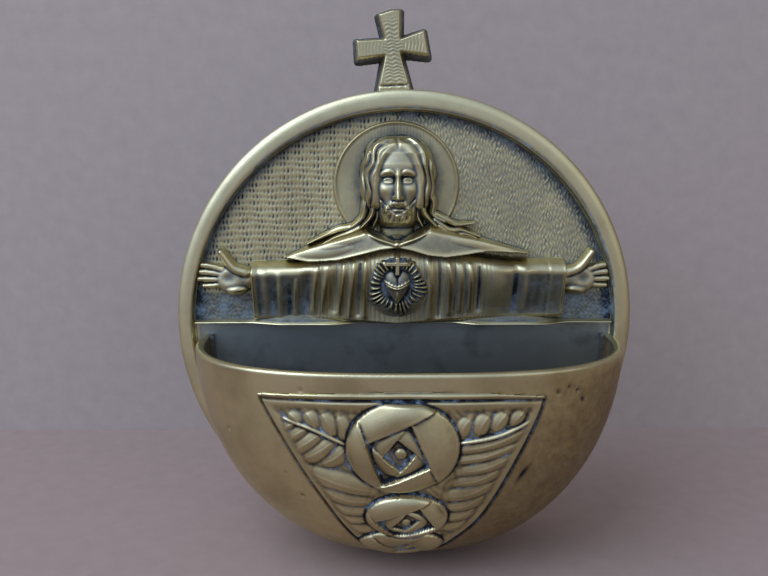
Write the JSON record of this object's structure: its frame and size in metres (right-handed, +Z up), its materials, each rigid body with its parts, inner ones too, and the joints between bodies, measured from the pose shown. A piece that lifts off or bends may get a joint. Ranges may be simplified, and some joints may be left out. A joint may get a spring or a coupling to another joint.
{
  "type": "holy water stoup",
  "caption": "Round cast brass wall stoup: rimmed plate with a relief figure, flared cross on top and an open basin with roses below.",
  "frame": {"origin": "centre of the disc on the wall plane, at the rim's back face", "axes": "+Z up, -Y towards the viewer, +Y into the wall, +X to the viewer's right"},
  "size_m": [0.13, 0.0472, 0.1511],
  "materials": {
    "cast_brass": "sand cast, polished on the highs, dark patina in the recesses",
    "drawn_brass": "drawn wire and sheet, dull",
    "soft_solder": "soft solder, grey and dull"
  },
  "bodies": {
    "root": {"back_plate": "cast_brass", "halo": "cast_brass", "figure_relief": "cast_brass", "sacred_heart": "cast_brass", "figure_rivets": "drawn_brass", "cross_finial": "cast_brass", "cross_dowels": "drawn_brass", "basin_shell": "cast_brass", "basin_screws": "drawn_brass", "basin_solder_seam": "soft_solder", "rose_panel": "cast_brass", "hanger_strap": "drawn_brass", "hanger_rivets": "drawn_brass"},
    "hanging_ring": {"hanging_ring": "drawn_brass"}
  },
  "joints": [
    {"name": "ring_swing", "type": "hinge", "parent": "root", "child": "hanging_ring", "pos_m": [0, -0.00204, 0.034], "axis": [1, 0, 0], "range_deg": [0, 180]}
  ]
}
